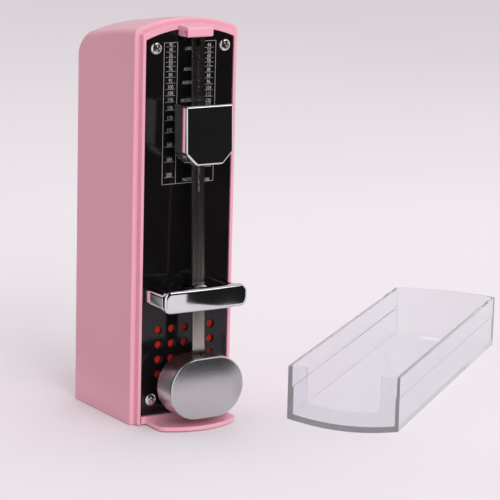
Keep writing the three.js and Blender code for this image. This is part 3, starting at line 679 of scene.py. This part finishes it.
def build_lower_weight(edge=1.0, dome=1.25, steps=8):
    """Stadium block with a slightly domed front, a rounded front edge and a slot for the rod."""
    low, high = span("lower_weight")
    r = (high.z - low.z) / 2
    places = []
    for i in range(steps + 1):
        reach = 1 - i / steps
        places.append((low.y + dome * (1 - reach) ** 2, edge + (r - 0.7 - edge) * reach))
    places += [(y + dome, inset) for y, inset in round_edge(low.y, edge)[1:]]
    places += [(high.y - 0.45, 0), (high.y - 0.13, 0.13), (high.y, 0.45)]
    body = cushion("weight_body", high.x, low.z, high.z, r, places)
    centre = (low.z + high.z) / 2
    rod_slot = box("slot", (-3.05, -37.2, centre - 6), (3.05, -34.6, centre + 20))
    rivet = prism("rivet hole", circle(0, PIVOT.z + RIVET_Z, 1.25, 24), -39, high.y + 1)
    combine(body, [rod_slot, rivet])
    shade(body, angle=38)
    finish_piece(body, SATIN, "pendulum", "weight_silver", "lower_weight")


def slider_outline(low, high, inset, corner=0.9, chamfer=4.7):
    """Outline of the sliding weight, with two rounded corners above and two chamfers below."""
    half, z0, z1 = high.x - inset, low.z + inset, high.z - inset
    cut = chamfer - inset * 0.6
    below = [(-half + cut, z0), (half - cut, z0), (half, z0 + cut)]
    above = (arc(half - corner, z1 - corner, corner, 0, UP, 6)
             + arc(corner - half, z1 - corner, corner, UP, 2 * UP, 6))
    return below + above + [(-half, z0 + cut)]


def build_slider():
    """Hollow sliding weight, a little wider at the back than at its polished face."""
    low, high = span("tempo_weight_shell", ROD_FRAME)
    rings = []
    for y, inset in ((low.y, 0.1), (high.y - 0.1, -0.2)):
        rings.append([(x, y, z) for x, z in slider_outline(low, high, inset)])
    skin = bevel(loft("slider_body", rings, ROD_FRAME), 1.3, 7, 30)
    hollow = prism("hollow", slider_outline(low, high, 1.5), low.y + 2.2, high.y + 1, "XZ", ROD_FRAME)
    channel = box("channel", (-3, -1.2, low.z - 1), (3, high.y + 1, high.z + 1), ROD_FRAME)
    combine(skin, [hollow, channel])
    shade(skin, angle=40)
    finish_piece(skin, CHROME, "tempo_weight", "chrome_trim", "tempo_weight_shell")


# ---------------------------------------------------------------- key and cover


def build_key():
    """Turned hub with a square socket, and a flat grip with round ends."""
    low, high = span("winding_key")
    centre = (low.z + high.z) / 2
    profile = [(0, low.y), (3.1, low.y), (3.3, low.y + 0.3), (3.3, low.y + 4.4), (2.7, low.y + 5.5),
               (0, low.y + 5.5)]
    hub = turned("key_grip", (0, centre), profile, 48)
    half, end_r = high.x, 2.2
    end_y = high.y - end_r - 0.5
    wing = (arc(half - end_r, end_y, end_r, -UP, UP, 10) + [(4, high.y), (-4, high.y)]
            + arc(end_r - half, end_y, end_r, UP, 3 * UP, 10) + [(-3.4, low.y + 3.6), (3.4, low.y + 3.6)])
    blade = bevel(prism("blade", wing, centre - 1.3, centre + 1.3, "XY"), 0.8, 4, 40)
    combine(hub, [blade], "UNION")
    combine(hub, [box("socket", (-1.5, low.y - 1, centre - 1.5), (1.5, low.y + 4.8, centre + 1.5))])
    shade(hub, angle=35)
    finish_piece(hub, CHROME, "winding", "chrome_trim", "winding_key")


COVER_WALL = 2.0
COVER_SAG = 2.5  # bow of the cover's front, which lies on the table
STEP_WALL = 1.5  # the rim's inside is cut back to this wall, over this depth
STEP_DEPTH = 8.7
MOUTH_HALF = 15.8  # opening in the cover's near end, over a bowed sill
SILL_Z = 8.4
SILL_R = 99.6


def cover_frame():
    """The cover's own frame (X across, Y along from its near end, Z up) and the height of its rim."""
    low, high = span("clear_cover", COVER_TURN)
    origin = COVER_TURN @ Vector(((low.x + high.x) / 2, low.y, 0))
    return Matrix.Translation(origin) @ COVER_TURN, high.z


def crown_outline(inset, top):
    """Cross-section of the cover, open above top."""
    half = HALF - inset
    r = (HALF ** 2 + COVER_SAG ** 2) / (2 * COVER_SAG)
    lean = math.asin(half / (r - inset))
    return arc(0, r, r - inset, -UP - lean, -UP + lean, 36) + [(half, top), (-half, top)]


def cover_plan(inset, length):
    """Plan of the cover, whose far end has the arch of the case."""
    half, r = HALF - inset, ARCH_R - inset
    lean = math.asin(half / r)
    rise = math.sqrt(ARCH_R ** 2 - HALF ** 2)
    return [(-half, inset), (half, inset)] + arc(0, length - rise, r, UP - lean, UP + lean, 36)


def build_cover():
    matrix, top = cover_frame()
    far = span("clear_cover", matrix)[1].y
    length = far - (ARCH_R - math.sqrt(ARCH_R ** 2 - HALF ** 2))

    def layer(name, inset, rim, plan_top, edge, segments):
        """The cover's outside or inside: its cross-section, cut to its plan, with rounded edges."""
        body = prism(name, crown_outline(inset, rim), -1, far + 5, "XZ", matrix)
        combine(body, [prism("plan", cover_plan(inset, length), -2, plan_top, "XY", matrix)], "INTERSECT")
        return bevel(body, edge, segments, 30)

    skin = layer("cover_shell", 0, top, top + 6, 0.9, 4)
    inner = layer("inner", COVER_WALL, top + 5, top + 7, 0.8, 3)
    step = prism("step", cover_plan(STEP_WALL, length), top - STEP_DEPTH, top + 7, "XY", matrix)
    sill = arc(0, SILL_Z + SILL_R, SILL_R, -UP - 0.15, -UP + 0.15, 16)
    mouth_outline = [(-MOUTH_HALF, top + 7)] + sill + [(MOUTH_HALF, top + 7)]
    mouth = prism("mouth", mouth_outline, -1, 5, "XZ", matrix)
    combine(skin, [inner, step, mouth])
    shade(skin)
    skin.visible_shadow = False
    finish_piece(skin, CLEAR, "cover", "cover_clear", "clear_cover")


# ---------------------------------------------------------------- pieces kept from the frame

KEPT = {
    "sound_screen": (RED, 0.05), "foot_pad": (RUBBER, 0.3),
    "pendulum_arbor": (STEEL, 0.1), "pallet_cam": (STEEL, 0.12), "weight_rivet": (BRASS, 0.1),
    "tempo_weight_back": (STEEL, 0.15), "tempo_weight_spring": (SPRING, 0.06),
    "front_plate": (BRASS, 0.15), "back_plate": (BRASS, 0.15),
    "escape_wheel": (BRASS, 0.06), "escape_arbor": (STEEL, 0.06), "middle_wheel": (BRASS, 0.06),
    "middle_arbor": (STEEL, 0.06), "barrel_drum": (BRASS, 0.08), "barrel_cover": (BRASS, 0.1),
    "mainspring": (SPRING, 0.04), "winding_arbor": (STEEL, 0.1), "ratchet_wheel": (STEEL, 0.08),
    "click": (STEEL, 0.1), "click_post": (STEEL, 0.08), "click_spring": (SPRING, 0.05),
}
for number in (1, 2, 3, 4):
    KEPT[f"base_screw_{number}"] = (STEEL, 0.12)
    KEPT[f"pillar_{number}"] = (BRASS, 0.15)
    KEPT[f"plate_screw_{number}"] = (STEEL, 0.08)
for number in (1, 2):
    KEPT[f"bridge_screw_{number}"] = (STEEL, 0.08)
    KEPT[f"movement_screw_{number}"] = (STEEL, 0.08)
    KEPT[f"tempo_weight_screw_{number}"] = (STEEL, 0.08)


def dress_kept_nodes():
    """Material and broken edges for the CAD nodes that are shown as they are."""
    for name, (material, width) in KEPT.items():
        obj = frame["nodes"][name]
        set_material(obj, material)
        add_bevel(obj, width, 2, 40)


# ---------------------------------------------------------------- stage, lights, camera, in metres

FAR = 8  # edge of the floor
TABLE_EDGE = [(-0.045, -0.32), (0.13, -0.32), (0.112, -0.271), (0.093, -0.235), (0.117, -0.21), (0.3, -0.1)]
SKY = 0.62
DARK_ROOM = 0.014
SCREEN = 1.0
KEY_DIRECTION = Vector((0.1, 0.9, -0.4))
LIGHT_TARGET = (0.02, 0, 0.08)
CAMERA_PLACE = (-0.4746, -0.8052, 0.2643)
CAMERA_YAW, CAMERA_PITCH, CAMERA_ROLL = math.radians(32.89), math.radians(12.036), math.radians(1.452)
CAMERA_LENS = 171.14


def floor_material():
    material = bpy.data.materials.new("floor paper")
    tree, shader = nodes_of(material)
    tinted(tree, shader, noise(tree, 3), (0.78, 0.745, 0.775), (0.80, 0.765, 0.795))
    shader.inputs["Roughness"].default_value = 0.9
    shader.inputs["Specular IOR Level"].default_value = 0.1
    return material


def stage_floor():
    """White table. The floor to the left and far in front is hidden from reflections, so that
    polished faces mirror the edge of a white table and an unlit room past it."""
    paper = floor_material()
    side, front = TABLE_EDGE[0][0], TABLE_EDGE[-1][1]
    areas = {
        "table": TABLE_EDGE + [(FAR, front), (FAR, FAR), (side, FAR)],
        "table_front": ([(-FAR, -FAR), (FAR, -FAR), (FAR, front)] + TABLE_EDGE[::-1]
                        + [(side, FAR), (-FAR, FAR)]),
    }
    floors = []
    for name, corners in areas.items():
        obj = new_object(name, [(x / MM, y / MM, 0) for x, y in corners], [list(range(len(corners)))])
        set_material(obj, paper)
        floors.append(obj)
    floors[1].visible_glossy = False


def math_node(tree, operation, first, second):
    """Result of an operation on two values, each a number or another node's output."""
    node = tree.nodes.new("ShaderNodeMath")
    node.operation = operation
    for socket, value in zip(node.inputs, (first, second)):
        if isinstance(value, float):
            socket.default_value = value
        else:
            tree.links.new(value, socket)
    return node.outputs[0]


def sky_strength(tree):
    """Even light all round, but mirrored faces that look to the front see an unlit room, with a tall
    bright screen at its left."""
    rays = tree.nodes.new("ShaderNodeLightPath")
    place = tree.nodes.new("ShaderNodeTexCoord")
    split = tree.nodes.new("ShaderNodeSeparateXYZ")
    tree.links.new(place.outputs["Generated"], split.inputs[0])
    x, y = split.outputs["X"], split.outputs["Y"]
    opaque = math_node(tree, "SUBTRACT", 1.0, rays.outputs["Is Transmission Ray"])
    mirrored = math_node(tree, "MULTIPLY", rays.outputs["Is Glossy Ray"], opaque)
    front = math_node(tree, "LESS_THAN", math_node(tree, "ADD", x, y), 0.35)
    dark = math_node(tree, "MULTIPLY", front, mirrored)
    screen = math_node(tree, "MULTIPLY", math_node(tree, "LESS_THAN", x, -0.35),
                       math_node(tree, "LESS_THAN", y, -0.12))
    room = math_node(tree, "ADD", math_node(tree, "MULTIPLY", screen, SCREEN), DARK_ROOM)
    open_sky = math_node(tree, "MULTIPLY", math_node(tree, "SUBTRACT", 1.0, dark), SKY)
    return math_node(tree, "ADD", math_node(tree, "MULTIPLY", dark, room), open_sky)


def area_light(name, place, size, power):
    """Soft rectangular light that looks at the case and is not in view itself."""
    data = bpy.data.lights.new(name, "AREA")
    data.shape = "RECTANGLE"
    data.size, data.size_y = size
    data.energy = power
    obj = link_object(name, data)
    obj.location = place
    obj.rotation_euler = (Vector(LIGHT_TARGET) - Vector(place)).to_track_quat("-Z", "Y").to_euler()
    obj.visible_camera = False


def key_light():
    """Large soft key from the front and above, kept out of reflections."""
    data = bpy.data.lights.new("key", "SUN")
    data.energy = 1.8
    data.angle = math.radians(40)
    key = link_object("key", data)
    key.visible_glossy = False
    key.visible_transmission = False
    key.rotation_euler = KEY_DIRECTION.to_track_quat("-Z", "Y").to_euler()


def light_scene():
    world = bpy.data.worlds.new("studio")
    bpy.context.scene.world = world
    world.use_nodes = True
    background = world.node_tree.nodes["Background"]
    world.node_tree.links.new(sky_strength(world.node_tree), background.inputs["Strength"])
    background.inputs["Color"].default_value = (1.0, 0.965, 0.99, 1)
    key_light()
    area_light("top_softbox", (0.1, 0.35, 1.0), (0.8, 0.5), 2.0)
    area_light("right_strip", (0.9, -0.1, 0.5), (0.2, 0.8), 0.8)
    area_light("front_softbox", (0.5, -0.75, 0.95), (0.6, 0.4), 1.8)


def place_camera():
    """Camera in front and to the left of the case, looking slightly down."""
    across, ahead = math.sin(CAMERA_YAW), math.cos(CAMERA_YAW)
    level = math.cos(CAMERA_PITCH)
    forward = Vector((across * level, ahead * level, -math.sin(CAMERA_PITCH)))
    side = Vector((ahead, -across, 0))
    up = side.cross(forward)
    right = side * math.cos(CAMERA_ROLL) + up * math.sin(CAMERA_ROLL)
    head = up * math.cos(CAMERA_ROLL) - side * math.sin(CAMERA_ROLL)
    data = bpy.data.cameras.new("camera")
    data.sensor_width = 36
    data.lens = CAMERA_LENS
    obj = link_object("camera", data)
    turn = Matrix((right, head, -forward)).transposed().to_4x4()
    obj.matrix_world = Matrix.Translation(CAMERA_PLACE) @ turn
    bpy.context.scene.camera = obj


# ---------------------------------------------------------------- the whole scene

build_case()
build_base()
build_panel()
build_print()
for number in (1, 2, 3, 4):
    build_panel_screw(number)
build_bridge()
build_rod()
build_hub()
build_lower_weight()
build_slider()
build_key()
build_cover()
dress_kept_nodes()
stage_floor()
light_scene()
place_camera()
bpy.context.scene.view_settings.view_transform = "Standard"
